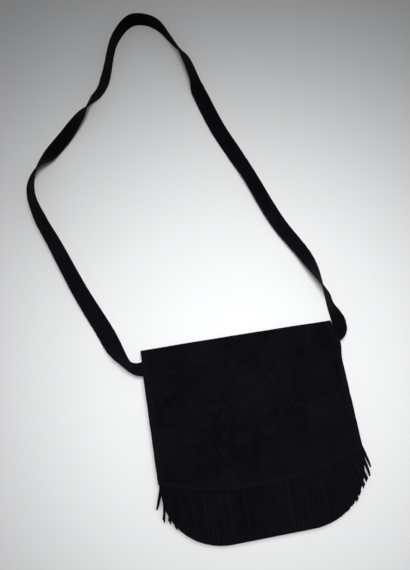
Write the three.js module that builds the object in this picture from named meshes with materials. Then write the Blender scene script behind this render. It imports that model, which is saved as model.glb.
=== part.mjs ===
import * as THREE from 'three';

// Suede shoulder bag with a fringed flap, lying on its back. Millimetres, +Z up out of the front.
// The origin is the middle of the back panel's underside; the strap is laid out towards +Y.

// Driving dimensions
const bagWidth = 240;
const bagHeight = 234;
const cornerAcross = 72;
const cornerUp = 66;
const suede = 1.6;
const facingThickness = 0.8;
const facingInset = 8;
const fringeThickness = 1.2;
const gussetWidth = 12;
const frontSwell = 4;
const mouthDrop = 34;
const foldHeight = 9.4;
const flapSideDrop = 156;
const flapMiddleDrop = 177;
const strandCount = 52;
const slitWidth = 0.7;
const headingHeight = 12;
const slitAboveEdge = 2;
const tipAboveBottom = 1.5;
const outerSplay = 9;
const strapWidth = 22;
const strapThickness = 2;
const strapEndLength = 36;
const snapRadius = 7.5;
const snapHoleRadius = 3.3;
const snapAboveEdge = 25;

// Clearances
const gap = 0.3;
const snapGap = 0.6;
const flapRest = 0.8;
const flapOverhang = 1.5;
const seamGap = 0.9;
const strapBelowFold = 7.2;
const strapGap = 2;
const gussetAboveMouth = 2;
const riseClear = 3;
const facingGap = 2;
const fringeInset = 1;

// Derived levels and lines
const halfFlap = bagWidth / 2;
const halfBody = halfFlap - flapOverhang;
const topY = bagHeight / 2;
const bottomY = -bagHeight / 2 + 0.5;
const foldRadius = foldHeight / 2;
const foldY = topY - foldRadius - suede / 2;
const foldZ = suede / 2 + foldRadius;
const gussetBase = suede + gap;
const rimZ = gussetBase + gussetWidth + gap;
const frontTopZ = rimZ + suede;
const mouthY = topY - mouthDrop;
const riseLength = mouthDrop - riseClear;
const gussetTopY = Math.min(mouthY + gussetAboveMouth, topY - strapBelowFold - strapWidth - strapGap);
const edgeMiddleY = topY - flapMiddleDrop;
const edgeSideY = topY - flapSideDrop;
const snapY = edgeMiddleY + snapAboveEdge;
const socketHeight = 2.2;
const studBase = 1.1;
const studPin = 1.6;
const snapStack = snapGap + socketHeight + gap + studBase + snapGap;
const snapReach = 4 * snapRadius;

const smooth = (t) => {
  const u = Math.min(1, Math.max(0, t));
  return u * u * (3 - 2 * u);
};

// Half width of the pouch at a height y: straight sides, elliptical lower corners.
function bodyHalfWidth(y) {
  const cornerY = bottomY + cornerUp;
  const down = Math.min(1, Math.max(0, (cornerY - y) / cornerUp));
  return halfBody - cornerAcross + cornerAcross * Math.sqrt(1 - down * down);
}

// Lowest point of the pouch's outline at a distance x from the middle.
function outlineY(x) {
  const along = Math.min(1, Math.max(0, (Math.abs(x) - halfBody + cornerAcross) / cornerAcross));
  return bottomY + cornerUp * (1 - Math.sqrt(1 - along * along));
}

function flapEdgeY(x) {
  return edgeMiddleY + (edgeSideY - edgeMiddleY) * Math.abs(x / halfFlap) ** 2.2;
}

// Top of the front panel, carried on past its outline as a droop.
function frontTop(x, y) {
  const half = bodyHalfWidth(y);
  const across = Math.min(1, Math.abs(x) / half);
  const up = Math.min(1, Math.max(0, (y - bottomY) / (mouthY - bottomY)));
  const swell = frontSwell * (1 - across * across) * Math.sin((Math.PI * up) / 1.3);
  const past = Math.max(0, Math.abs(x) - half - flapOverhang);
  const droop = Math.min(6, 0.09 * past * past);
  return frontTopZ + swell - droop;
}

// Room under the flap: a resting gap, more over the snap.
function flapLift(x, y) {
  const away = (x * x + (y - snapY) ** 2) / (2 * snapReach * snapReach);
  return flapRest + (snapStack - flapRest) * Math.exp(-away);
}

const liningDepth = suede / 2 + gap + facingThickness / 2;
const fringeDepth = suede / 2 + gap + fringeThickness / 2;
const layersBelowFlap = suede / 2 + gap + facingThickness;

// Middle of the flap's thickness: low at the fold, then up and over the front.
function flapMiddle(x, y) {
  const over = frontTop(x, y) + flapLift(x, y) + layersBelowFlap;
  const low = foldZ + foldRadius;
  return low + (over - low) * smooth((foldY - y) / riseLength);
}

// A closed sheet from a grid of middle points, thickened along the sheet's own normals.
function sheet(columns, rows, place, thickness, filled = () => true) {
  const has = (c, r) => c >= 0 && r >= 0 && c < columns && r < rows && filled(c, r);
  const positions = [];
  const normalAt = (c, r) => {
    const left = has(c - 1, r) || has(c - 1, r - 1) ? c - 1 : c;
    const right = has(c, r) || has(c, r - 1) ? c + 1 : c;
    const across = place(right, r).sub(place(left, r));
    const along = place(c, Math.min(rows, r + 1)).sub(place(c, Math.max(0, r - 1)));
    return along.cross(across).normalize();
  };
  for (const side of [-1, 1]) {
    for (let r = 0; r <= rows; r += 1) {
      for (let c = 0; c <= columns; c += 1) {
        const point = place(c, r).addScaledVector(normalAt(c, r), (side * thickness) / 2);
        positions.push(point.x, point.y, point.z);
      }
    }
  }
  const layer = (rows + 1) * (columns + 1);
  const at = (side, c, r) => side * layer + r * (columns + 1) + c;
  const faces = [];
  const quad = (a, b, c, d) => faces.push(a, b, c, a, c, d);
  const wall = (c0, r0, c1, r1) => quad(at(1, c0, r0), at(1, c1, r1), at(0, c1, r1), at(0, c0, r0));
  for (let r = 0; r < rows; r += 1) {
    for (let c = 0; c < columns; c += 1) {
      if (!has(c, r)) continue;
      quad(at(1, c, r), at(1, c, r + 1), at(1, c + 1, r + 1), at(1, c + 1, r));
      quad(at(0, c, r), at(0, c + 1, r), at(0, c + 1, r + 1), at(0, c, r + 1));
      if (!has(c, r - 1)) wall(c, r, c + 1, r);
      if (!has(c - 1, r)) wall(c, r + 1, c, r);
      if (!has(c, r + 1)) wall(c + 1, r + 1, c, r + 1);
      if (!has(c + 1, r)) wall(c + 1, r, c + 1, r + 1);
    }
  }
  const geometry = new THREE.BufferGeometry();
  geometry.setAttribute('position', new THREE.Float32BufferAttribute(positions, 3));
  geometry.setIndex(faces);
  geometry.computeVertexNormals();
  return geometry;
}

// The pouch's outline inset by a distance, open at the top.
function outline(path, inset, endY) {
  const half = halfBody - inset;
  const across = cornerAcross - inset;
  const up = cornerUp - inset;
  const centreY = bottomY + cornerUp;
  path.lineTo(-half, endY);
  path.lineTo(-half, centreY);
  path.absellipse(-half + across, centreY, across, up, Math.PI, 1.5 * Math.PI, false, 0);
  path.lineTo(half - across, centreY - up);
  path.absellipse(half - across, centreY, across, up, 1.5 * Math.PI, 2 * Math.PI, false, 0);
  path.lineTo(half, endY);
}

function backPanel() {
  const shape = new THREE.Shape();
  shape.moveTo(-halfBody, foldY - seamGap);
  outline(shape, 0, foldY - seamGap);
  return new THREE.ExtrudeGeometry(shape, { depth: suede, bevelEnabled: false, curveSegments: 12 });
}

function gussetStrip() {
  const outer = new THREE.Path();
  const inner = new THREE.Path();
  outer.moveTo(-halfBody, gussetTopY);
  outline(outer, 0, gussetTopY);
  inner.moveTo(-halfBody + suede, gussetTopY);
  outline(inner, suede, gussetTopY);
  const loop = [...outer.getPoints(12), ...inner.getPoints(12).reverse()];
  const shape = new THREE.Shape(loop.filter((p, i) => i === 0 || p.distanceTo(loop[i - 1]) > 0.01));
  const geometry = new THREE.ExtrudeGeometry(shape, { depth: gussetWidth, bevelEnabled: false });
  return geometry.translate(0, 0, gussetBase);
}

function frontPanel() {
  const columns = 14;
  const rows = 16;
  return sheet(columns, rows, (c, r) => {
    const y = mouthY + (bottomY - mouthY) * Math.sin((0.5 * Math.PI * r) / rows);
    const x = bodyHalfWidth(y) * ((2 * c) / columns - 1);
    return new THREE.Vector3(x, y, frontTop(x, y) - suede / 2);
  }, suede);
}

function flapSheet() {
  const columns = 16;
  const foldRows = 8;
  const riseRows = foldRows + 6;
  const rows = riseRows + 12;
  return sheet(columns, rows, (c, r) => {
    const x = halfFlap * ((2 * c) / columns - 1);
    if (r <= foldRows) {
      const turn = Math.PI * (r / foldRows - 0.5);
      return new THREE.Vector3(x, foldY + foldRadius * Math.cos(turn), foldZ + foldRadius * Math.sin(turn));
    }
    const rise = Math.min(1, (r - foldRows) / (riseRows - foldRows));
    const rest = Math.max(0, (r - riseRows) / (rows - riseRows));
    const y = foldY - riseLength * rise + (flapEdgeY(x) - foldY + riseLength) * rest;
    return new THREE.Vector3(x, y, flapMiddle(x, y));
  }, suede);
}

function facingSheet() {
  const columns = 14;
  const rows = 14;
  const topEdge = foldY - riseLength - facingGap;
  const half = halfFlap - facingInset;
  return sheet(columns, rows, (c, r) => {
    const x = half * ((2 * c) / columns - 1);
    const y = topEdge + ((flapEdgeY(x) + headingHeight + facingGap - topEdge) * r) / rows;
    return new THREE.Vector3(x, y, flapMiddle(x, y) - liningDepth);
  }, facingThickness);
}

// One strip: a heading tucked under the flap's edge, slit into strands that follow the bag's outline.
function fringeStrip() {
  const columns = 2 * strandCount - 1;
  const headingRows = 2;
  const rows = headingRows + 5;
  const half = halfFlap - fringeInset;
  const pitch = (2 * half + slitWidth) / strandCount;
  return sheet(columns, rows, (c, r) => {
    const strand = Math.floor(c / 2);
    const start = -half + strand * pitch;
    const root = c % 2 ? start + pitch - slitWidth : start;
    const middle = start + (pitch - slitWidth) / 2;
    const headingTop = flapEdgeY(root) + headingHeight;
    const slitTop = flapEdgeY(middle) + slitAboveEdge;
    const headingY = headingTop + ((slitTop - headingTop) * Math.min(r, headingRows)) / headingRows;
    const down = Math.max(0, r - headingRows) / (rows - headingRows);
    const y = headingY + (outlineY(middle) + tipAboveBottom - slitTop) * down;
    const lean = outerSplay * Math.abs(middle / half) ** 10 * Math.sign(middle);
    const x = root + lean * down * down;
    return new THREE.Vector3(x, y, flapMiddle(x, y) - fringeDepth);
  }, fringeThickness, (c, r) => r < headingRows || c % 2 === 0);
}

// The strap's route is that of its lower edge, from one sewn end round to the other: x, distance above
// the bag's top edge, roll up from flat in degrees, and how far it is up on the back panel, 0 to 1.
// It is drawn for a bag of half width 120.
const routeHalfWidth = 120;
const strapRoute = [
  [-106, -7.2, 0, 1],
  [-118, -8.5, 13, 1],
  [-128, -10, 40, 0.5],
  [-136, -7, 60, 0],
  [-140, 1.5, 48, 0],
  [-143.5, 14, 27, 0],
  [-151, 36.5, 7, 0],
  [-178.5, 98, 27, 0],
  [-206, 168.5, 41, 0],
  [-221.5, 205, 51, 0],
  [-234, 244, 79, 0],
  [-230.5, 275, 115, 0],
  [-217.5, 300.5, 162, 0],
  [-192.5, 328.5, 170, 0],
  [-162, 359.5, 143, 0],
  [-143, 370, 106, 0],
  [-127.5, 380, 89, 0],
  [-114.5, 398, 74, 0],
  [-93, 465, 81, 0],
  [-68, 492, 83, 0],
  [-48.5, 491.5, 86, 0],
  [-30, 478, 85, 0],
  [-9.5, 445.5, 101, 0],
  [6, 427, 126, 0],
  [17.5, 381.5, 138, 0],
  [22.5, 364.5, 169, 0],
  [38.5, 304.5, 177, 0],
  [54, 262.5, 178, 0],
  [67.5, 223.5, 162, 0],
  [91, 152, 165, 0],
  [119.5, 87, 151, 0],
  [122, 39, 96, 0],
  [122, 20, 84, 0],
  [122.5, 6, 66, 0],
  [122.3, -3, 53, 0.1],
  [118.5, -8.3, 32, 1],
  [104.5, -7.8, 12, 1],
  [95, -7.2, 0, 1],
];

// A flat band: it leaves each side level, banks up on edge to turn, and twists along the way.
function strapBand() {
  const scale = halfFlap / routeHalfWidth;
  const sewn = (halfFlap - strapEndLength) / scale;
  const route = [[-sewn, -strapBelowFold, 0, 1], ...strapRoute, [sewn, -strapBelowFold, 0, 1]];
  const plan = route.map(([x, up]) => new THREE.Vector3(x * scale, topY + (up > 0 ? up * scale : up), 0));
  const turns = route.map(([, , roll, share]) => new THREE.Vector3(roll, share * suede, 0));
  const planCurve = new THREE.CatmullRomCurve3(plan, false, 'centripetal');
  const turnCurve = new THREE.CatmullRomCurve3(turns, false, 'catmullrom', 0.5);
  const columns = 2;
  const rows = 3 * (route.length - 1);
  const lines = [];
  for (let r = 0; r <= rows; r += 1) {
    const edge = planCurve.getPoint(r / rows);
    const travel = planCurve.getTangent(r / rows);
    const turn = turnCurve.getPoint(r / rows);
    const roll = THREE.MathUtils.degToRad(Math.max(0, turn.x));
    const side = new THREE.Vector3(-travel.y, travel.x, 0).normalize().multiplyScalar(Math.cos(roll));
    side.z = Math.sin(roll);
    edge.z = gap + (strapThickness / 2) * Math.abs(Math.cos(roll)) + Math.max(0, turn.y);
    lines.push((w) => edge.clone().addScaledVector(side, w));
  }
  return sheet(columns, rows, (c, r) => lines[r]((strapWidth * c) / columns), strapThickness);
}

// A turned ring about a vertical line through the snap, from a closed list of radius and height.
function snapRing(profile, baseZ) {
  const points = profile.map(([radius, height]) => new THREE.Vector2(radius, height));
  points.push(points[0].clone());
  const geometry = new THREE.LatheGeometry(points, 32);
  return geometry.rotateX(Math.PI / 2).translate(0, snapY, baseZ);
}

const socketZ = frontTop(0, snapY) + snapGap;
const studZ = socketZ + socketHeight + gap;
const rivetRadius = 0.8;

const snapSocket = () => snapRing([
  [snapHoleRadius, 0],
  [snapRadius, 0],
  [snapRadius, socketHeight - 0.6],
  [snapRadius - 0.6, socketHeight],
  [snapHoleRadius, socketHeight],
], socketZ);

const snapStud = () => snapRing([
  [rivetRadius, -studPin],
  [snapHoleRadius - 1.1, -studPin],
  [snapHoleRadius - 0.7, -studPin + 0.4],
  [snapHoleRadius - 0.7, 0],
  [snapRadius - 0.4, 0],
  [snapRadius, 0.4],
  [snapRadius, studBase],
  [rivetRadius, studBase],
], studZ);

const washerThickness = 0.7;
const snapWasher = () => snapRing([
  [rivetRadius * 2, 0],
  [snapRadius - 1.5, 0],
  [snapRadius - 1.5, washerThickness],
  [rivetRadius * 2, washerThickness],
], frontTop(0, snapY) - suede - snapGap - washerThickness);

const suedeBlack = 0x19171d;
const liningBlack = 0x121216;
const nickel = 0x8f8b84;

const part = new THREE.Group();
part.name = 'fringed_bag';

function add(name, geometry, color, roughness, metalness = 0) {
  const material = new THREE.MeshStandardMaterial({ color, roughness, metalness });
  const mesh = new THREE.Mesh(geometry, material);
  mesh.name = name;
  part.add(mesh);
}

add('back_panel', backPanel(), suedeBlack, 0.95);
add('gusset', gussetStrip(), suedeBlack, 0.95);
add('front_panel', frontPanel(), suedeBlack, 0.95);
add('flap', flapSheet(), suedeBlack, 0.95);
add('flap_facing', facingSheet(), liningBlack, 0.8);
add('fringe', fringeStrip(), suedeBlack, 0.95);
add('strap', strapBand(), suedeBlack, 0.95);
add('snap_socket', snapSocket(), nickel, 0.35, 1);
add('snap_washer', snapWasher(), nickel, 0.4, 1);
add('snap_stud', snapStud(), nickel, 0.35, 1);

export default part;
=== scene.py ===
import bpy
import bmesh
import math
from mathutils import Matrix, Vector, noise


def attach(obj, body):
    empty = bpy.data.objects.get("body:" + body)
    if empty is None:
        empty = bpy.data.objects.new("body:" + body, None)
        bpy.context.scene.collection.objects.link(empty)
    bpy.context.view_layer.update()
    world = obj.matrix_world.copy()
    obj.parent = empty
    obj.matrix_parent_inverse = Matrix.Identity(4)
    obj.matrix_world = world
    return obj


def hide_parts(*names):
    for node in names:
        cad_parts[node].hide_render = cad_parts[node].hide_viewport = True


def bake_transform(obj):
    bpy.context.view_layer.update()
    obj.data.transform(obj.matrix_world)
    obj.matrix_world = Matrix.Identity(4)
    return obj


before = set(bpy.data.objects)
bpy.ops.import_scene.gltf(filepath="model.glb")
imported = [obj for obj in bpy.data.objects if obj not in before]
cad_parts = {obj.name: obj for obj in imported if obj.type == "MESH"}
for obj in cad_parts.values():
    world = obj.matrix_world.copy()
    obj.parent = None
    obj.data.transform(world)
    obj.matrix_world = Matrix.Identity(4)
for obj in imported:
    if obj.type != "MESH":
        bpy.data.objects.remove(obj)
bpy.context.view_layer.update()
print("frame loaded with", len(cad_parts), "nodes")

mm = 0.001
upward = Vector((0, 0, 1))

# the bag's cut, the same sizes as the solids, in millimetres
bag = {
    "halfFlap": 120.0, "halfBody": 118.5, "topY": 117.0, "bottomY": -116.5,
    "cornerAcross": 72.0, "cornerUp": 66.0, "suede": 1.6, "gussetBase": 1.9, "gussetWidth": 12.0,
    "frontTop": 15.8, "swell": 4.0, "swellSpan": 1.3, "mouthY": 83.0,
    "overhang": 1.5, "droop": 0.09, "droopMost": 6.0,
    "foldRadius": 4.7, "foldY": 111.5, "foldZ": 5.5, "rise": 31.0, "seamY": 110.9,
    "edgeMiddle": -60.0, "edgeSide": -39.0, "edgeSag": 2.2, "flapAbove": 1.9, "flapRest": 0.8,
    "snapY": -35.0, "snapStack": 4.8, "snapReach": 30.0,
}

# waves in the loose suede: how long each one is and where its chance pattern starts
waves = {
    "broad": (64, 3.1), "small": (23, 8.4), "frontDent": (37, 5.2), "gussetCrease": (22, 1.7),
    "fold": (30, 6.3), "flapSide": (34, 2.2), "flapHem": (26, 9.1),
}


def smooth(t):
    u = min(1.0, max(0.0, t))
    return u * u * (3 - 2 * u)


def ripple(x, y, kind, shift=0.0):
    size, start = waves[kind]
    return noise.noise(Vector((x / size, y / size, start + shift)))


def bodyHalf(y):
    down = min(1.0, max(0.0, (bag["bottomY"] + bag["cornerUp"] - y) / bag["cornerUp"]))
    return bag["halfBody"] - bag["cornerAcross"] * (1 - math.sqrt(1 - down * down))


def outlineY(x):
    along = min(1.0, max(0.0, (abs(x) - bag["halfBody"] + bag["cornerAcross"]) / bag["cornerAcross"]))
    return bag["bottomY"] + bag["cornerUp"] * (1 - math.sqrt(1 - along * along))


def flapEdge(x):
    sag = abs(x / bag["halfFlap"]) ** bag["edgeSag"]
    return bag["edgeMiddle"] + (bag["edgeSide"] - bag["edgeMiddle"]) * sag


def frontTop(x, y):
    half = bodyHalf(y)
    across = min(1.0, abs(x) / half)
    up = min(1.0, max(0.0, (y - bag["bottomY"]) / (bag["mouthY"] - bag["bottomY"])))
    swell = bag["swell"] * (1 - across * across) * math.sin(math.pi * up / bag["swellSpan"])
    past = max(0.0, abs(x) - half - bag["overhang"])
    return bag["frontTop"] + swell - min(bag["droopMost"], bag["droop"] * past * past)


# soft hollows and swells of the flap, never below the solid's own height: broad and small waves, a slanting
# pull from each top corner, and a bump where the flap lies over the strap's right end
hollows = {
    "broad": 0.9, "small": 0.35, "smallStretch": 0.7, "belowFold": 4, "fade": 30,
    "pull": 0.8, "pullX": 96, "pullTopY": 100, "pullSlope": 0.45, "pullWide": 9,
    "pullEndY": 20, "pullFade": 50,
    "bump": 1.8, "bumpX": 121, "bumpY": 92, "bumpWide": 10,
}


def drape(x, y):
    broad = hollows["broad"] + hollows["broad"] * ripple(x, y, "broad")
    small = hollows["small"] + hollows["small"] * ripple(x, y * hollows["smallStretch"], "small")
    aside = abs(x) - hollows["pullX"] + hollows["pullSlope"] * (hollows["pullTopY"] - y)
    pull = hollows["pull"] * math.exp(-(aside / hollows["pullWide"]) ** 2)
    pull *= smooth((y - hollows["pullEndY"]) / hollows["pullFade"])
    right = (x - hollows["bumpX"]) / hollows["bumpWide"]
    up = (y - hollows["bumpY"]) / hollows["bumpWide"]
    bump = hollows["bump"] * math.exp(-right ** 2 - up ** 2)
    return (broad + small + pull + bump) * smooth((bag["foldY"] - hollows["belowFold"] - y) / hollows["fade"])


def flapMiddle(x, y):
    away = (x * x + (y - bag["snapY"]) ** 2) / (2 * bag["snapReach"] ** 2)
    lift = bag["flapRest"] + (bag["snapStack"] - bag["flapRest"]) * math.exp(-away)
    over = frontTop(x, y) + lift + bag["flapAbove"] + drape(x, y)
    low = bag["foldZ"] + bag["foldRadius"]
    return low + (over - low) * smooth((bag["foldY"] - y) / bag["rise"])


# the soft bag does not lie quite square: it leans a hair to the left and its bottom is drawn up at the right
lie = {
    "left": 1.1, "leftByX": 0.0045, "leftByY": 0.004,
    "up": 0.9, "upByX": 0.011, "upBelowY": -30, "upOver": 70,
}


def laid(x, y, z):
    leftward = lie["left"] - lie["leftByX"] * x + lie["leftByY"] * (bag["topY"] - y)
    drawn = (lie["up"] + lie["upByX"] * x) * smooth((lie["upBelowY"] - y) / lie["upOver"])
    return Vector((x - leftward, y + drawn, z))


def runLengths(points):
    lengths = [0.0]
    for a, b in zip(points, points[1:]):
        lengths.append(lengths[-1] + (b - a).length)
    return lengths


# how every cut edge is finished, angles in degrees
edging = {"segments": 2, "sharpFrom": 55, "smoothBelow": 48}


def pick(obj):
    bpy.ops.object.select_all(action="DESELECT")
    obj.select_set(True)
    bpy.context.view_layer.objects.active = obj


# a plain grid is added and each of its points is set where that point of the cut piece lies
def gridSheet(name, columns, rows, place, edgeWear=5.0, slit=None, rubbedAndSheen=None):
    bpy.ops.object.select_all(action="DESELECT")
    bpy.ops.mesh.primitive_grid_add(x_subdivisions=columns, y_subdivisions=rows, size=1)
    obj = bpy.context.object
    obj.name = obj.data.name = name
    if slit:
        cutSlits(obj, columns, rows, slit)
    # this attribute holds wear near the cut edges, or the given rubbed values, which on the fringe also paint
    # sheen over whole strands
    wearAndSheen = obj.data.attributes.new("wearAndSheen", "FLOAT", "POINT")
    for v in obj.data.vertices:
        c = round((v.co.x + 0.5) * columns)
        r = round((0.5 - v.co.y) * rows)
        inside = min(c, columns - c, r, rows - r)
        wearAndSheen.data[v.index].value = rubbedAndSheen(c, r) if rubbedAndSheen else max(0.0, 1 - inside / edgeWear)
        v.co = Vector(place(c, r)) * mm
    return obj


def cutSlits(obj, columns, rows, slit):
    bpy.ops.object.mode_set(mode="EDIT")
    bpy.ops.mesh.select_mode(type="FACE")
    bpy.ops.mesh.select_all(action="DESELECT")
    bpy.ops.object.mode_set(mode="OBJECT")
    for face in obj.data.polygons:
        face.select = slit(int((face.center.x + 0.5) * columns), int((0.5 - face.center.y) * rows))
    bpy.ops.object.mode_set(mode="EDIT")
    bpy.ops.mesh.delete(type="FACE")
    bpy.ops.object.mode_set(mode="OBJECT")


def thicken(obj, thickness, roundEdge):
    wall = obj.modifiers.new("wall", "SOLIDIFY")
    wall.thickness = thickness * mm
    wall.offset = 0
    edge = obj.modifiers.new("edge", "BEVEL")
    edge.width = roundEdge * mm
    edge.segments = edging["segments"]
    edge.limit_method = "ANGLE"
    edge.angle_limit = math.radians(edging["sharpFrom"])
    pick(obj)
    bpy.ops.object.modifier_apply(modifier=wall.name)
    bpy.ops.object.modifier_apply(modifier=edge.name)
    bpy.ops.object.shade_smooth_by_angle(angle=math.radians(edging["smoothBelow"]))


# shader pieces that the finishes share
def newMaterial(name, roughness, metallic=0.0):
    mat = bpy.data.materials.new(name)
    mat.use_nodes = True
    nodes = mat.node_tree.nodes
    shader = nodes["Principled BSDF"]
    shader.inputs["Roughness"].default_value = roughness
    shader.inputs["Metallic"].default_value = metallic
    where = nodes.new("ShaderNodeTexCoord")
    return mat, nodes, mat.node_tree.links, shader, where


def noiseNode(nodes, links, where, scale, detail=3.0, rough=0.55, stretch=None):
    tex = nodes.new("ShaderNodeTexNoise")
    tex.inputs["Scale"].default_value = scale
    tex.inputs["Detail"].default_value = detail
    tex.inputs["Roughness"].default_value = rough
    if stretch:
        turn = nodes.new("ShaderNodeMapping")
        turn.inputs["Scale"].default_value = stretch
        links.new(where.outputs["Object"], turn.inputs["Vector"])
        links.new(turn.outputs["Vector"], tex.inputs["Vector"])
    else:
        links.new(where.outputs["Object"], tex.inputs["Vector"])
    return tex


def rampNode(nodes, links, value, stops):
    ramp = nodes.new("ShaderNodeValToRGB")
    for stop, (at, colour) in zip(ramp.color_ramp.elements, stops):
        stop.position = at
        stop.color = (*colour, 1)
    links.new(value, ramp.inputs["Fac"])
    return ramp.outputs["Color"]


# a socket is linked, a plain value is set
def mixNode(nodes, links, kind, factor, a, b):
    mix = nodes.new("ShaderNodeMix")
    mix.data_type = "RGBA"
    mix.blend_type = kind
    for socket, value in ((mix.inputs["Factor"], factor), (mix.inputs["A"], a), (mix.inputs["B"], b)):
        if hasattr(value, "links"):
            links.new(value, socket)
        else:
            socket.default_value = value
    return mix.outputs["Result"]


def mathNode(nodes, links, kind, a, b):
    node = nodes.new("ShaderNodeMath")
    node.operation = kind
    links.new(a, node.inputs[0])
    links.new(b, node.inputs[1])
    return node.outputs["Value"]


def bumpNode(nodes, links, shader, height, strength, depth):
    bump = nodes.new("ShaderNodeBump")
    bump.inputs["Strength"].default_value = strength
    bump.inputs["Distance"].default_value = depth
    links.new(height, bump.inputs["Height"])
    links.new(bump.outputs["Normal"], shader.inputs["Normal"])


def grey(value):
    return (value, value, value)


# napped suede: broad patches brushed two ways, short streaks, fine fibre, small scuffs, paler rubbed edges,
# and painted sheen: the same paler colour laid over some whole fringe strands
suedeLook = {
    "nap": ((0.36, (0.0018, 0.0017, 0.0026)), (0.66, (0.0042, 0.0039, 0.0057))),
    "fibre": ((0.3, grey(0.45)), (0.72, (1.35, 1.33, 1.4))),
    "streak": ((0.32, grey(0.7)), (0.68, grey(1.25))),
    "scuffed": ((0.56, grey(0)), (0.72, grey(0.34))),
    "rough": ((0.25, grey(0.86)), (0.75, grey(1))), "plainRough": 0.95,
    # edge: the paler colour of rubbed edges, which also paints sheen on the lighter fringe strands
    "edge": (0.0064, 0.0059, 0.008), "scuff": (0.0112, 0.0104, 0.0136),
    "patchScale": 24.0, "fibreScale": 1500.0, "scuffScale": 105.0, "scuffCurl": 1.0,
    "fibreShare": 0.8, "streakShare": 0.7, "shine": 0.04,
    "sheen": 0.024, "sheenRough": 0.55, "sheenTint": (0.5, 0.47, 0.56), "bump": 0.55, "bumpDepth": 0.0004,
}


def suedeMaterial(name, streak):
    look = suedeLook
    mat, nodes, links, shader, where = newMaterial(name, look["plainRough"])
    patches = noiseNode(nodes, links, where, look["patchScale"], detail=5, rough=0.6).outputs["Fac"]
    streaks = noiseNode(nodes, links, where, 1.0, detail=3, rough=0.6, stretch=streak).outputs["Fac"]
    fibre = noiseNode(nodes, links, where, look["fibreScale"], detail=4, rough=0.7).outputs["Fac"]
    marks = noiseNode(nodes, links, where, look["scuffScale"], detail=5, rough=0.65)
    marks.inputs["Distortion"].default_value = look["scuffCurl"]
    nap = rampNode(nodes, links, patches, look["nap"])
    hair = rampNode(nodes, links, fibre, look["fibre"])
    line = rampNode(nodes, links, streaks, look["streak"])
    scuffed = rampNode(nodes, links, marks.outputs["Fac"], look["scuffed"])
    # the wear attribute carries rubbed wear and, on the fringe, painted sheen
    wearAndSheen = nodes.new("ShaderNodeAttribute")
    wearAndSheen.attribute_name = "wearAndSheen"
    rubAndSheen = mathNode(nodes, links, "MULTIPLY", wearAndSheen.outputs["Fac"], streaks)
    colour = mixNode(nodes, links, "MULTIPLY", look["fibreShare"], nap, hair)
    colour = mixNode(nodes, links, "MULTIPLY", look["streakShare"], colour, line)
    colour = mixNode(nodes, links, "MIX", scuffed, colour, (*look["scuff"], 1))
    # paler where the suede is rubbed, and where sheen is painted over whole fringe strands
    colour = mixNode(nodes, links, "MIX", rubAndSheen, colour, (*look["edge"], 1))
    links.new(colour, shader.inputs["Base Color"])
    links.new(rampNode(nodes, links, fibre, look["rough"]), shader.inputs["Roughness"])
    shader.inputs["Specular IOR Level"].default_value = look["shine"]
    shader.inputs["Sheen Weight"].default_value = look["sheen"]
    shader.inputs["Sheen Roughness"].default_value = look["sheenRough"]
    shader.inputs["Sheen Tint"].default_value = (*look["sheenTint"], 1)
    both = mathNode(nodes, links, "ADD", fibre, streaks)
    bumpNode(nodes, links, shader, both, look["bump"], look["bumpDepth"])
    return mat


twillLook = {
    "ribs": ((0.2, (0.004, 0.004, 0.005)), (0.8, (0.014, 0.014, 0.017))),
    "faded": ((0.3, grey(0.75)), (0.7, grey(1.2))), "fadeShare": 0.8, "fadeScale": 60,
    "rough": 0.85, "ribScale": 320, "ribCurl": 0.6, "ribTurn": 35, "bump": 0.5, "bumpDepth": 0.0003,
}


def liningMaterial():
    look = twillLook
    mat, nodes, links, shader, where = newMaterial("blackTwill", look["rough"])
    turn = nodes.new("ShaderNodeMapping")
    turn.inputs["Rotation"].default_value = (0, 0, math.radians(look["ribTurn"]))
    links.new(where.outputs["Object"], turn.inputs["Vector"])
    ribs = nodes.new("ShaderNodeTexWave")
    ribs.inputs["Scale"].default_value = look["ribScale"]
    ribs.inputs["Distortion"].default_value = look["ribCurl"]
    links.new(turn.outputs["Vector"], ribs.inputs["Vector"])
    cloud = noiseNode(nodes, links, where, look["fadeScale"], detail=4)
    rib = rampNode(nodes, links, ribs.outputs["Fac"], look["ribs"])
    faded = rampNode(nodes, links, cloud.outputs["Fac"], look["faded"])
    colour = mixNode(nodes, links, "MULTIPLY", look["fadeShare"], rib, faded)
    links.new(colour, shader.inputs["Base Color"])
    bumpNode(nodes, links, shader, ribs.outputs["Fac"], look["bump"], look["bumpDepth"])
    return mat


nickelLook = {
    "tarnish": ((0.3, (0.36, 0.34, 0.31)), (0.68, (0.62, 0.6, 0.57))), "tarnishScale": 380,
    "rough": ((0.3, grey(0.24)), (0.7, grey(0.5))), "plainRough": 0.35,
    "scratch": (2600, 240, 900), "bump": 0.25, "bumpDepth": 0.0001,
}


def nickelMaterial():
    look = nickelLook
    mat, nodes, links, shader, where = newMaterial("dullNickel", look["plainRough"], metallic=1.0)
    scratch = noiseNode(nodes, links, where, 1.0, detail=4, rough=0.6, stretch=look["scratch"]).outputs["Fac"]
    tarnish = noiseNode(nodes, links, where, look["tarnishScale"], detail=4).outputs["Fac"]
    links.new(rampNode(nodes, links, tarnish, look["tarnish"]), shader.inputs["Base Color"])
    links.new(rampNode(nodes, links, scratch, look["rough"]), shader.inputs["Roughness"])
    bumpNode(nodes, links, shader, scratch, look["bump"], look["bumpDepth"])
    return mat


threadLook = {
    "ply": ((0.35, (0.0025, 0.0024, 0.003)), (0.7, (0.0075, 0.007, 0.0085))), "plyScale": 2600,
    "rough": 0.8, "shine": 0.1, "bump": 0.6, "bumpDepth": 0.0001,
}


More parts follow.
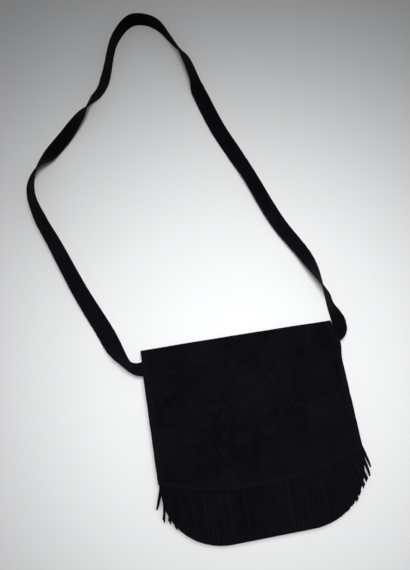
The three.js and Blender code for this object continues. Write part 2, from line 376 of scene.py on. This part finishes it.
def threadMaterial():
    look = threadLook
    mat, nodes, links, shader, where = newMaterial("blackThread", look["rough"])
    shader.inputs["Specular IOR Level"].default_value = look["shine"]
    ply = noiseNode(nodes, links, where, look["plyScale"], detail=2).outputs["Fac"]
    links.new(rampNode(nodes, links, ply, look["ply"]), shader.inputs["Base Color"])
    bumpNode(nodes, links, shader, ply, look["bump"], look["bumpDepth"])
    return mat


panelSuede = suedeMaterial("panelSuede", streak=(520, 120, 300))
strandSuede = suedeMaterial("strandSuede", streak=(900, 90, 500))
strapSuede = suedeMaterial("strapSuede", streak=(300, 220, 300))
twill = liningMaterial()
nickel = nickelMaterial()
thread = threadMaterial()
print("materials ready")


def finishPiece(obj, material, slot, body, *nodes):
    obj.data.materials.clear()
    obj.data.materials.append(material)
    if body:
        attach(obj, body)
    if nodes:
        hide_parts(*nodes)
    return obj


# camera: above the bag's left half, leaning 17 degrees from straight down towards the strap
view = {
    "foot": (-66.3, -30.1), "height": 743.2, "aim": (-27.9, 193.9),
    "focalPixels": 600.0, "framePixels": 570.0, "sensor": 36, "nearest": 10,
}


def addCamera():
    stand = Vector((*view["foot"], view["height"])) * mm
    look = Vector((*view["aim"], 0)) * mm - stand
    bpy.ops.object.camera_add(location=stand, rotation=look.to_track_quat("-Z", "Y").to_euler())
    camera = bpy.context.object
    camera.name = "photoCamera"
    camera.data.sensor_fit = "VERTICAL"
    camera.data.sensor_height = view["sensor"]
    camera.data.lens = view["sensor"] * view["focalPixels"] / view["framePixels"]
    camera.data.clip_start = view["nearest"] * mm
    bpy.context.scene.camera = camera


addCamera()
print("camera placed")

# strap: one flat strip, followed along its lower edge from one sewn end to the other
# route: x, distance above the bag's top edge, roll up from flat in degrees, how much of the back panel's
# thickness is under it
strapCut = {
    "width": 22.0, "thick": 2.0, "length": 1.256, "clear": 0.3, "sewnX": 84.0, "belowTop": 7.2,
    "stepsPerPoint": 6, "across": 8, "edgeRound": 0.5, "edgeWear": 2.0,
    "bow": 0.7, "bowPace": 0.11, "bowFrom": 5, "bowOver": 40,
    "route": [
        (-106, -7.2, 0, 1), (-118, -8.5, 13, 1), (-128, -10, 40, 0.5), (-136, -7, 60, 0),
        (-140, 1.5, 48, 0), (-143.5, 14, 27, 0), (-151, 36.5, 7, 0), (-178.5, 98, 27, 0),
        (-206, 168.5, 41, 0), (-221.5, 205, 51, 0), (-234, 244, 79, 0), (-230.5, 275, 115, 0),
        (-217.5, 300.5, 162, 0), (-192.5, 328.5, 170, 0), (-162, 359.5, 143, 0), (-143, 370, 106, 0),
        (-127.5, 380, 89, 0), (-114.5, 398, 74, 0), (-93, 465, 81, 0), (-68, 492, 83, 0),
        (-48.5, 491.5, 86, 0), (-30, 478, 85, 0), (-9.5, 445.5, 101, 0), (6, 427, 126, 0),
        (17.5, 381.5, 138, 0), (22.5, 364.5, 169, 0), (38.5, 304.5, 177, 0), (54, 262.5, 178, 0),
        (67.5, 223.5, 162, 0), (91, 152, 165, 0), (119.5, 87, 151, 0), (122, 39, 96, 0), (122, 20, 84, 0),
        (122.5, 6, 66, 0), (122.3, -3, 53, 0.1), (118.5, -8.3, 32, 1), (104.5, -7.8, 12, 1),
        (95, -7.2, 0, 1),
    ],
}


# a smooth value and its slope through a list of points; spaced lets far points pull less on near ones
def throughPoints(points, at, spaced):
    last = len(points) - 1
    k = min(last - 1, int(at))
    t = at - k
    p1, p2 = points[k], points[k + 1]
    p0 = points[k - 1] if k else p1 * 2 - p2
    p3 = points[k + 2] if k + 2 <= last else p2 * 2 - p1
    s0, s1, s2 = ((b - a).length ** 0.5 if spaced else 1.0 for a, b in ((p0, p1), (p1, p2), (p2, p3)))
    m1 = ((p1 - p0) / s0 - (p2 - p0) / (s0 + s1) + (p2 - p1) / s1) * s1
    m2 = ((p2 - p1) / s1 - (p3 - p1) / (s1 + s2) + (p3 - p2) / s2) * s1
    c = (p2 - p1) * 3 - m1 * 2 - m2
    d = (p1 - p2) * 2 + m1 + m2
    return p1 + m1 * t + c * t * t + d * t ** 3, m1 + c * 2 * t + d * 3 * t * t


def buildStrap():
    width, steps, across = strapCut["width"], strapCut["stepsPerPoint"], strapCut["across"]
    sewn, below = strapCut["sewnX"], -strapCut["belowTop"]
    route = [(-sewn, below, 0, 1)] + strapCut["route"] + [(sewn, below, 0, 1)]
    plan = [Vector((x, bag["topY"] + up, 0)) for x, up, roll, share in route]
    turns = [Vector((roll, share * bag["suede"], 0)) for x, up, roll, share in route]
    rows = steps * (len(plan) - 1)
    lines = []
    for k in range(rows + 1):
        point, travel = throughPoints(plan, k / steps, True)
        turn = throughPoints(turns, k / steps, False)[0]
        roll = math.radians(max(0.0, turn.x))
        side = Vector((-travel.y, travel.x, 0)).normalized() * math.cos(roll)
        side.z = math.sin(roll)
        rest = strapCut["clear"] + strapCut["thick"] / 2 * abs(math.cos(roll)) + max(0.0, turn.y)
        lines.append((Vector((point.x, point.y, rest)), side, side.cross(travel).normalized()))

    def place(c, r):
        low, side, face = lines[r]
        share = c / across
        free = smooth((low.y - bag["topY"] - strapCut["bowFrom"]) / strapCut["bowOver"])
        bow = strapCut["bow"] * math.sin(r * strapCut["bowPace"]) * 4 * share * (1 - share) * free
        return low + side * width * share + face * bow

    strap = gridSheet("shoulderStrap", across, rows, place, strapCut["edgeWear"])
    thicken(strap, strapCut["thick"], strapCut["edgeRound"])
    finishPiece(strap, strapSuede, "suede", "bag", "strap")
    return strap, [Vector(place(across / 2, r)) * mm for r in range(rows + 1)]


strap, strapPath = buildStrap()
print("strap laid,", round(runLengths(strapPath)[-1], 3), "m")

# back panel, front panel and gusset
panelCut = {
    "columns": 90, "rows": 90, "edgeRound": 0.45, "arcSteps": 24,
    "dent": 0.5, "dentInside": 10, "grooveDeep": 0.5, "grooveWide": 1.6, "grooveIn": 4,
    "gussetAlong": 240, "gussetAcross": 10, "gussetAbove": 2, "gussetWear": 1.5, "seamRoom": 0.3,
    "crease": 1.6, "creaseVaries": 0.9, "creasePower": 1.5, "creasePace": 1.7,
}


def backMiddle(x, y):
    return bag["suede"] / 2


def frontMiddle(x, y):
    inside = panelCut["dentInside"]
    edge = smooth((bodyHalf(y) - abs(x)) / inside) * smooth((y - outlineY(x)) / inside)
    dent = panelCut["dent"] * edge * (0.5 + 0.5 * ripple(x, y, "frontDent"))
    aside = min(bodyHalf(y) - abs(x), y - bag["bottomY"]) - panelCut["grooveIn"]
    groove = panelCut["grooveDeep"] * math.exp(-(aside / panelCut["grooveWide"]) ** 2)
    return frontTop(x, y) - bag["suede"] / 2 - dent - groove


def buildPanel(name, top, middle, node):
    rows, columns = panelCut["rows"], panelCut["columns"]

    def place(c, r):
        y = top + (bag["bottomY"] - top) * math.sin(0.5 * math.pi * r / rows)
        x = bodyHalf(y) * (2 * c / columns - 1)
        return laid(x, y, middle(x, y))

    panel = gridSheet(name, columns, rows, place)
    thicken(panel, bag["suede"], panelCut["edgeRound"])
    return finishPiece(panel, panelSuede, "suede", "bag", node)


# points round the pouch from the left of the mouth to the right, inset from the outline
def outlineLoop(inset, topY, count):
    half = bag["halfBody"] - inset
    across, up = bag["cornerAcross"] - inset, bag["cornerUp"] - inset
    centreY = bag["bottomY"] + bag["cornerUp"]
    loop = [Vector((-half, topY)), Vector((-half, centreY))]
    for k in range(1, panelCut["arcSteps"] + 1):
        a = math.pi * (1 + 0.5 * k / panelCut["arcSteps"])
        loop.append(Vector((-half + across + across * math.cos(a), centreY + up * math.sin(a))))
    loop += [Vector((-p.x, p.y)) for p in reversed(loop)]
    lengths = runLengths(loop)
    points = []
    k = 0
    for i in range(count + 1):
        target = lengths[-1] * i / count
        while k < len(loop) - 2 and lengths[k + 1] < target:
            k += 1
        t = (target - lengths[k]) / (lengths[k + 1] - lengths[k])
        points.append(loop[k].lerp(loop[k + 1], t))
    return points


def buildGusset():
    along, across = panelCut["gussetAlong"], panelCut["gussetAcross"]
    loop = outlineLoop(bag["suede"] / 2, bag["mouthY"] + panelCut["gussetAbove"], along)
    height = bag["gussetWidth"] - panelCut["seamRoom"]

    def place(c, r):
        ahead, behind = loop[min(along, c + 1)], loop[max(0, c - 1)]
        inward = Vector((behind.y - ahead.y, ahead.x - behind.x)).normalized()
        share = r / across
        uneven = ripple(c * panelCut["creasePace"], 0, "gussetCrease")
        deep = panelCut["crease"] + panelCut["creaseVaries"] * uneven
        point = loop[c] + inward * (math.sin(math.pi * share) ** panelCut["creasePower"] * deep)
        return laid(point.x, point.y, bag["gussetBase"] + height * (1 - share))

    gusset = gridSheet("sideGusset", along, across, place, panelCut["gussetWear"])
    thicken(gusset, bag["suede"], panelCut["edgeRound"])
    return finishPiece(gusset, panelSuede, "suede", "bag", "gusset")


backPanel = buildPanel("backPanel", bag["seamY"], backMiddle, "back_panel")
frontPanel = buildPanel("frontPanel", bag["mouthY"], frontMiddle, "front_panel")
gusset = buildGusset()
print("pouch sewn up")

# flap: over the top in a fold, then down the front
# shoulder: the flap's side bulges out over the strap's right end; groove: the seam draws the suede in
flapCut = {
    "columns": 120, "foldRows": 26, "riseRows": 26, "frontRows": 80, "edgeRound": 0.5,
    "seamGap": 0.1, "seamRows": 3, "foldDent": 0.25,
    "foldProud": 4.0, "proudByX": 0.0075, "proudAtSides": 0.6, "proudFade": 1.4,
    "sideWave": 0.7, "sideFrom": 0.8, "sideOver": 0.2, "hemWave": 0.6, "hemPower": 6,
    "shoulder": 3.4, "shoulderX": 96, "shoulderWide": 24, "shoulderTop": 12,
    "shoulderLowY": 64, "shoulderFade": 28,
    "grooveDeep": 0.3, "grooveWide": 1.3, "grooveIn": 4,
    "turnFrom": (0, 0.1109, 0.0014), "turnTo": (0, 0.1109, 0.0135),
}


# how far the fold stands out past the solid's fold, most at the left
def topHigh(x):
    sides = flapCut["proudAtSides"] * (x / bag["halfFlap"]) ** 2
    return flapCut["foldProud"] - flapCut["proudByX"] * x - sides


def foldPoint(x, r):
    foldRows = flapCut["foldRows"]
    turn = math.pi * (r / foldRows - 0.5)
    radius = bag["foldRadius"] + flapCut["foldDent"] * math.cos(turn) * ripple(x, 0, "fold")
    seam = bag["seamY"] + flapCut["seamGap"]
    start = seam + (bag["foldY"] - seam) * smooth(r / flapCut["seamRows"])
    high = topHigh(x) * smooth(2 * r / foldRows)
    return laid(x, start + high + radius * math.cos(turn), bag["foldZ"] + radius * math.sin(turn))


def shoulderOut(x, y):
    across = smooth((x - flapCut["shoulderX"]) / flapCut["shoulderWide"])
    below = smooth((bag["foldY"] - y) / flapCut["shoulderTop"])
    above = smooth((y - flapCut["shoulderLowY"]) / flapCut["shoulderFade"])
    return flapCut["shoulder"] * across * below * above


def flapGroove(x, y, rise, rest):
    aside = bag["halfFlap"] - abs(x) - flapCut["grooveIn"]
    above = y - flapEdge(x) - flapCut["grooveIn"]
    sides = flapCut["grooveDeep"] * math.exp(-(aside / flapCut["grooveWide"]) ** 2) * rise
    return sides + flapCut["grooveDeep"] * math.exp(-(above / flapCut["grooveWide"]) ** 2) * rest


# rise: share of the way from the fold up to the front, rest: share of the way on to the lower edge
def flapPoint(x, rise, rest):
    y = bag["foldY"] - bag["rise"] * rise + (flapEdge(x) - bag["foldY"] + bag["rise"]) * rest
    atSide = smooth((abs(x) / bag["halfFlap"] - flapCut["sideFrom"]) / flapCut["sideOver"])
    wave = flapCut["sideWave"] * ripple(y, 0, "flapSide", math.copysign(1, x))
    x += math.copysign(wave, x) * atSide * rise
    x += shoulderOut(x, y)
    y += flapCut["hemWave"] * ripple(x, 0, "flapHem") * rest ** flapCut["hemPower"]
    z = flapMiddle(x, y) - flapGroove(x, y, rise, rest)
    return laid(x, y + topHigh(x) * (1 - smooth(rise * flapCut["proudFade"])), z)


def buildFlap():
    columns, foldRows = flapCut["columns"], flapCut["foldRows"]
    riseRows, frontRows = flapCut["riseRows"], flapCut["frontRows"]

    def place(c, r):
        x = bag["halfFlap"] * (2 * c / columns - 1)
        if r <= foldRows:
            return foldPoint(x, r)
        rise = min(1.0, (r - foldRows) / riseRows)
        rest = max(0.0, (r - foldRows - riseRows) / frontRows)
        return flapPoint(x, rise, rest)

    flap = gridSheet("frontFlap", columns, foldRows + riseRows + frontRows, place)
    thicken(flap, bag["suede"], flapCut["edgeRound"])
    finishPiece(flap, panelSuede, "suede", None, "flap")
    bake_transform(flap)
    return flap


facingCut = {
    "columns": 60, "rows": 50, "thick": 0.8, "edgeRound": 0.2, "edgeWear": 1.5,
    "inset": 8.0, "topDown": 33.0, "above": 14.0, "depth": 1.5,
}


def buildFacing():
    columns, rows = facingCut["columns"], facingCut["rows"]
    half = bag["halfFlap"] - facingCut["inset"]
    top = bag["foldY"] - facingCut["topDown"]

    def place(c, r):
        x = half * (2 * c / columns - 1)
        y = top + (flapEdge(x) + facingCut["above"] - top) * r / rows
        return laid(x, y, flapMiddle(x, y) - facingCut["depth"])

    facing = gridSheet("flapFacing", columns, rows, place, facingCut["edgeWear"])
    thicken(facing, facingCut["thick"], facingCut["edgeRound"])
    return finishPiece(facing, twill, "lining", "flap", "flap_facing")


flap = buildFlap()
facing = buildFacing()
print("flap folded over")

# fringe: one strip, its heading under the flap's edge, slit into loose strands
# splayed ones: how far the tip leans out, its place below the bag's middle, where the slit starts above the
# flap's edge, how much the strand narrows, how late it bends away
# varies: how much strands differ in each way; each way has its own row of chance, neighbours sway much alike
fringeCut = {
    "strands": 52, "slit": 0.7, "sideIn": 1, "heading": 12.0, "slitAbove": 2.6, "tipAbove": 1.5,
    "thick": 1.2, "edgeRound": 0.3, "depth": 1.9, "lying": 0.95, "fall": 18.0,
    "headRows": 5, "rows": 26, "across": 3, "narrows": 0.08, "bend": 1.0, "trimMost": 5.0,
    "sweep": 7.0, "sweepFrom": 72.0, "sweepOver": 26.0, "sweepOut": 0.3, "sweepStray": 0.4,
    "splayed": {
        0: (9.0, 65.5, 2.6, 0.7, 1.6), 1: (7.0, 78.0, 4.5, 0.6, 1.2), 2: (5.0, 81.0, 2.6, 0.3, 1.3),
        3: (3.5, 88.5, 2.6, 0.3, 1.3), 48: (8.5, 82.0, 3.5, 0.1, 0.8), 49: (8.5, 76.0, 5.0, 0.1, 0.6),
        50: (9.0, 72.0, 6.0, 0.6, 0.5), 51: (8.0, 62.0, 9.0, 0.7, 0.9),
    },
    "varies": {
        # the rubbed way is painted sheen: how much a whole strand is made paler, as if it caught the light
        "stray": 1.2, "sway": 1.7, "twist": 0.5, "lift": 0.35, "curl": 1.2, "slant": 1.1, "rubbedAndSheen": 1.4,
    },
    "chanceStep": 1.37, "swayStep": 0.4, "chanceRow": 5.1, "chanceFrom": 4.7,
    "waveWide": 0.25, "wavePace": 9, "swayPace": 2.4,
    # wear at strand edges and tips; the last value fades that wear and the painted sheen out near the roots
    "rubEdge": 1.5, "rubTip": 6, "rubTipFrom": 0.83, "rubAndSheenFade": 8,
}


def chance(n, way):
    step = fringeCut["swayStep" if way == "sway" else "chanceStep"]
    row = 1 + list(fringeCut["varies"]).index(way)
    return noise.noise(Vector((n * step, row * fringeCut["chanceRow"], fringeCut["chanceFrom"])))


def varied(n, way):
    return fringeCut["varies"][way] * chance(n, way)


# how one strand is cut and how it falls; those near the right corner are swept outwards
# tips are trimmed along the round bottom
def strandShape(n, middle, width):
    swept = fringeCut["sweep"] * smooth((middle - fringeCut["sweepFrom"]) / fringeCut["sweepOver"])
    end = -outlineY(middle + swept) - fringeCut["tipAbove"] + fringeCut["sweepOut"] * swept
    end += (fringeCut["varies"]["stray"] + fringeCut["sweepStray"] * swept) * chance(n, "stray")
    hangs = (swept, end, fringeCut["slitAbove"], fringeCut["narrows"], fringeCut["bend"])
    outward, tipBelow, above, narrows, bend = fringeCut["splayed"].get(n, hangs)
    root = flapEdge(middle) + above
    lean = outward * math.copysign(1, middle)
    trim = outlineY(middle + lean + width / 2) - outlineY(middle + lean - width / 2)
    trim = min(fringeCut["trimMost"], max(-fringeCut["trimMost"], trim))
    return {
        "middle": middle, "root": root, "length": root + tipBelow, "lean": lean, "bend": bend,
        "narrows": narrows, "sway": 0.0 if n in fringeCut["splayed"] else varied(n, "sway"),
        "twist": varied(n, "twist"), "lift": fringeCut["varies"]["lift"] + varied(n, "lift"),
        "curl": max(0.0, varied(n, "curl")), "slant": trim + varied(n, "slant"),
        # painted sheen: a paler tone over the whole strand
        "phase": n, "rubbedAndSheen": max(0.0, varied(n, "rubbedAndSheen")),
    }


# s runs from 0 at the root to 1 at the tip, side from -0.5 to 0.5 across the strand
# the powers of s keep the narrowing, the slant and the curl close to the tip
def strandPoint(strand, side, width, s):
    wide = width * (1 - strand["narrows"] * s ** 3)
    turn = strand["twist"] * s * s
    sway = strand["sway"] * math.sin(fringeCut["swayPace"] * s) * s
    wave = fringeCut["waveWide"] * math.sin(fringeCut["wavePace"] * s + strand["phase"]) * s
    x = strand["middle"] + strand["lean"] * s ** strand["bend"] + sway
    x += wave + wide * side * math.cos(turn)
    y = strand["root"] - strand["length"] * s + strand["slant"] * side * s ** 8
    under = flapMiddle(x, y) - fringeCut["depth"]
    lying = frontTop(x, y) + fringeCut["lying"]
    clear = smooth((flapEdge(x) - y) / fringeCut["fall"])
    z = under + (lying + strand["lift"] - under) * clear
    z += wide * (side * math.sin(turn) + 0.5 * abs(math.sin(turn)))
    return laid(x, y, z + strand["curl"] * s ** 4)


def buildFringe():
    count, across = fringeCut["strands"], fringeCut["across"]
    headRows, rows = fringeCut["headRows"], fringeCut["rows"]
    half = bag["halfFlap"] - fringeCut["sideIn"]
    pitch = (2 * half + fringeCut["slit"]) / count
    width = pitch - fringeCut["slit"]
    cell = across + 1
    strands = [strandShape(n, -half + pitch * n + width / 2, width) for n in range(count)]

    def place(c, r):
        n, k = divmod(c, cell)
        side = k / across - 0.5
        if r >= headRows:
            return strandPoint(strands[n], side, width, (r - headRows) / rows)
        x = strands[n]["middle"] + width * side
        top = flapEdge(x) + fringeCut["heading"]
        y = top + (strands[n]["root"] - top) * r / headRows
        return laid(x, y, flapMiddle(x, y) - fringeCut["depth"])

    def slit(c, r):
        return c % cell == across and r >= headRows

    # paler colour along each strand: wear at its edges and tip, painted sheen over a whole strand, all fading
    # out near the root
    def rubbedAndSheen(c, r):
        n, k = divmod(c, cell)
        s = (r - headRows) / rows
        edge = 1 - min(k, across - k) * fringeCut["rubEdge"]
        tip = fringeCut["rubTip"] * (s - fringeCut["rubTipFrom"])
        return max(strands[n]["rubbedAndSheen"], edge, tip) * smooth(s * fringeCut["rubAndSheenFade"])

    strip = gridSheet("fringeStrip", cell * count - 1, headRows + rows, place, slit=slit, rubbedAndSheen=rubbedAndSheen)
    thicken(strip, fringeCut["thick"], fringeCut["edgeRound"])
    return finishPiece(strip, strandSuede, "suede", "flap", "fringe")


fringe = buildFringe()
print("fringe cut")

# stitching: one stitch is modelled, then copied along each seam
stitchCut = {
    "length": 3.0, "gap": 1.1, "radius": 0.32, "sides": 6, "round": 0.1, "raised": 0.06,
    "seamIn": 4.0, "seamSteps": 120, "belowFold": 6, "headingAbove": 9.5, "headingIn": 6,
    "loopSteps": 240, "belowMouth": 2, "hemDown": 8, "hemIn": 6, "hemSteps": 80,
    "strapFrom": 87.0, "strapTo": 96.0, "strapIn": 3, "besideStrap": 2,
}


def stitchMesh():
    bpy.ops.object.select_all(action="DESELECT")
    radius, depth = stitchCut["radius"] * mm, stitchCut["length"] * mm
    bpy.ops.mesh.primitive_cylinder_add(vertices=stitchCut["sides"], radius=radius, depth=depth)
    one = bpy.context.object
    bpy.ops.object.mode_set(mode="EDIT")
    bpy.ops.mesh.select_all(action="SELECT")
    bpy.ops.mesh.bevel(offset=stitchCut["round"] * mm, segments=1, affect="EDGES")
    bpy.ops.object.mode_set(mode="OBJECT")
    mesh = one.data.copy()
    bpy.data.objects.remove(one)
    return mesh


# each run of points comes with the direction that its surface faces, so a stitch lies on the surface
def stitchSeam(name, runs, body):
    seam = bmesh.new()
    step = stitchCut["length"] + stitchCut["gap"]
    for points, up in runs:
        lengths = runLengths(points)
        k = 0
        at = step / 2
        while at < lengths[-1]:
            while lengths[k + 1] < at:
                k += 1
            t = (at - lengths[k]) / (lengths[k + 1] - lengths[k])
            along = (points[k + 1] - points[k]).normalized()
            across = up.cross(along).normalized()
            place = Matrix((across, along.cross(across), along)).transposed().to_4x4()
            place.translation = (points[k].lerp(points[k + 1], t) + up * stitchCut["raised"]) * mm
            start = len(seam.verts)
            seam.from_mesh(oneStitch)
            seam.verts.ensure_lookup_table()
            bmesh.ops.transform(seam, matrix=place, verts=seam.verts[start:])
            at += step
    mesh = bpy.data.meshes.new(name)
    seam.to_mesh(mesh)
    seam.free()
    obj = bpy.data.objects.new(name, mesh)
    bpy.context.collection.objects.link(obj)
    pick(obj)
    bpy.ops.object.shade_smooth()
    return finishPiece(obj, thread, "suede", body)


# a point in the flap's seam groove
def flapSurface(x, y):
    high = topHigh(x) * (1 - smooth((bag["foldY"] - y) / bag["rise"] * flapCut["proudFade"]))
    return laid(x, y + high, flapMiddle(x, y) - flapCut["grooveDeep"] + bag["suede"] / 2)


def flapRows():
    inset, steps = stitchCut["seamIn"], stitchCut["seamSteps"]
    side = bag["halfFlap"] - inset
    top = bag["foldY"] - stitchCut["belowFold"]
    low = flapEdge(side) + inset
    left = [flapSurface(-side, top + (low - top) * k / steps) for k in range(steps + 1)]
    right = [flapSurface(side, low + (top - low) * k / steps) for k in range(steps + 1)]
    lower = []
    for k in range(1, steps):
        x = -side + 2 * side * k / steps
        lower.append(flapSurface(x, flapEdge(x) + inset))
    return [(left + lower + right, upward)]


def headingRows():
    half, steps = bag["halfFlap"] - stitchCut["headingIn"], stitchCut["seamSteps"]
    row = []
    for k in range(steps + 1):
        x = -half + 2 * half * k / steps
        point = flapSurface(x, flapEdge(x) + stitchCut["headingAbove"])
        point.z += flapCut["grooveDeep"]
        row.append(point)
    return [(row, upward)]


def pouchLoop():
    return outlineLoop(stitchCut["seamIn"], bag["mouthY"] - stitchCut["belowMouth"], stitchCut["loopSteps"])


def frontSurface(x, y):
    return laid(x, y, frontMiddle(x, y) + bag["suede"] / 2)


def frontRows():
    half, steps = bag["halfBody"] - stitchCut["hemIn"], stitchCut["hemSteps"]
    hemY = bag["mouthY"] - stitchCut["hemDown"]
    hem = [frontSurface(-half + 2 * half * k / steps, hemY) for k in range(steps + 1)]
    return [([frontSurface(p.x, p.y) for p in pouchLoop()], upward), (hem, upward)]


# a box with a cross in it on each sewn strap end
def strapEndRows():
    runs = []
    for side in (-1, 1):
        x0, x1 = side * stitchCut["strapFrom"], side * stitchCut["strapTo"]
        y1 = bag["topY"] - strapCut["belowTop"] - stitchCut["strapIn"]
        y0 = y1 - strapCut["width"] + 2 * stitchCut["strapIn"]
        z = bag["suede"] + strapCut["clear"] + strapCut["thick"]
        box = [(x0, y0), (x1, y0), (x1, y1), (x0, y1), (x0, y0), (x1, y1)]
        runs.append(([Vector((x, y, z)) for x, y in box], upward))
        runs.append(([Vector((x0, y1, z)), Vector((x1, y0, z))], upward))
    return runs


def backRows():
    loop = [laid(p.x, p.y, stitchCut["radius"]) for p in pouchLoop()]
    half = strapCut["sewnX"] - stitchCut["besideStrap"]
    seamY = bag["seamY"] - stitchCut["seamIn"]
    seam = [Vector((-half, seamY, bag["suede"])), Vector((half, seamY, bag["suede"]))]
    return [(loop, -upward), (seam, upward)]


oneStitch = stitchMesh()
flapStitches = stitchSeam("flapStitches", flapRows(), None)
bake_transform(flapStitches)
headingStitches = stitchSeam("headingStitches", headingRows(), "flap")
frontStitches = stitchSeam("frontStitches", frontRows(), "bag")
backStitches = stitchSeam("backStitches", backRows(), "bag")
strapStitches = stitchSeam("strapStitches", strapEndRows(), "bag")
print("seams stitched")

# the snap's three parts keep their turned solids, with a worn nickel finish
for node in ("snap_socket", "snap_washer", "snap_stud"):
    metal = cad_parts[node]
    metal.data.materials.clear()
    metal.data.materials.append(nickel)

# the strap's path turned into plain tuples, which are not kept
tuple(strapPath[strapCut["stepsPerPoint"]])
[tuple(p) for p in strapPath]

# floor and light: a pale sweep, brightest near the middle of the picture
# sizes in metres, places in millimetres
stageLook = {
    "floorSize": 40.0, "floor": (0.8, 0.805, 0.81), "floorRough": 0.85, "floorShine": 0.2,
    "grainScale": 300, "grainDark": 0.985, "grainStops": (0.3, 0.7),
    "keyPlace": (5, 85, 1100), "keySize": 0.6, "keySpread": 57, "keyPower": 1.76,
    "fillPlace": (900, -700, 1100), "fillTurn": (38, 0, 50), "fillSize": 0.9, "fillPower": 0.25,
    "sky": (0.95, 0.97, 1.0), "skyPower": 0.18,
}


def layFloor():
    bpy.ops.object.select_all(action="DESELECT")
    bpy.ops.mesh.primitive_plane_add(size=stageLook["floorSize"], location=(0, 0, 0))
    floor = bpy.context.object
    floor.name = "floor"
    mat, nodes, links, shader, where = newMaterial("paleFloor", stageLook["floorRough"])
    grain = noiseNode(nodes, links, where, stageLook["grainScale"])
    dark = tuple(v * stageLook["grainDark"] for v in stageLook["floor"])
    stops = zip(stageLook["grainStops"], (dark, stageLook["floor"]))
    tone = rampNode(nodes, links, grain.outputs["Fac"], stops)
    links.new(tone, shader.inputs["Base Color"])
    shader.inputs["Specular IOR Level"].default_value = stageLook["floorShine"]
    floor.data.materials.append(mat)


def hangLights():
    bpy.ops.object.light_add(type="AREA", location=Vector(stageLook["keyPlace"]) * mm)
    key = bpy.context.object
    key.data.shape = "DISK"
    key.data.size = stageLook["keySize"]
    key.data.energy = stageLook["keyPower"]
    key.data.spread = math.radians(stageLook["keySpread"])
    turn = [math.radians(v) for v in stageLook["fillTurn"]]
    bpy.ops.object.light_add(type="AREA", location=Vector(stageLook["fillPlace"]) * mm, rotation=turn)
    fill = bpy.context.object
    fill.data.size = stageLook["fillSize"]
    fill.data.energy = stageLook["fillPower"]
    world = bpy.data.worlds.new("studio")
    world.use_nodes = True
    sky = world.node_tree.nodes["Background"]
    sky.inputs["Color"].default_value = (*stageLook["sky"], 1)
    sky.inputs["Strength"].default_value = stageLook["skyPower"]
    bpy.context.scene.world = world
    bpy.context.scene.view_settings.view_transform = "Standard"


layFloor()
hangLights()
print("stage lit")
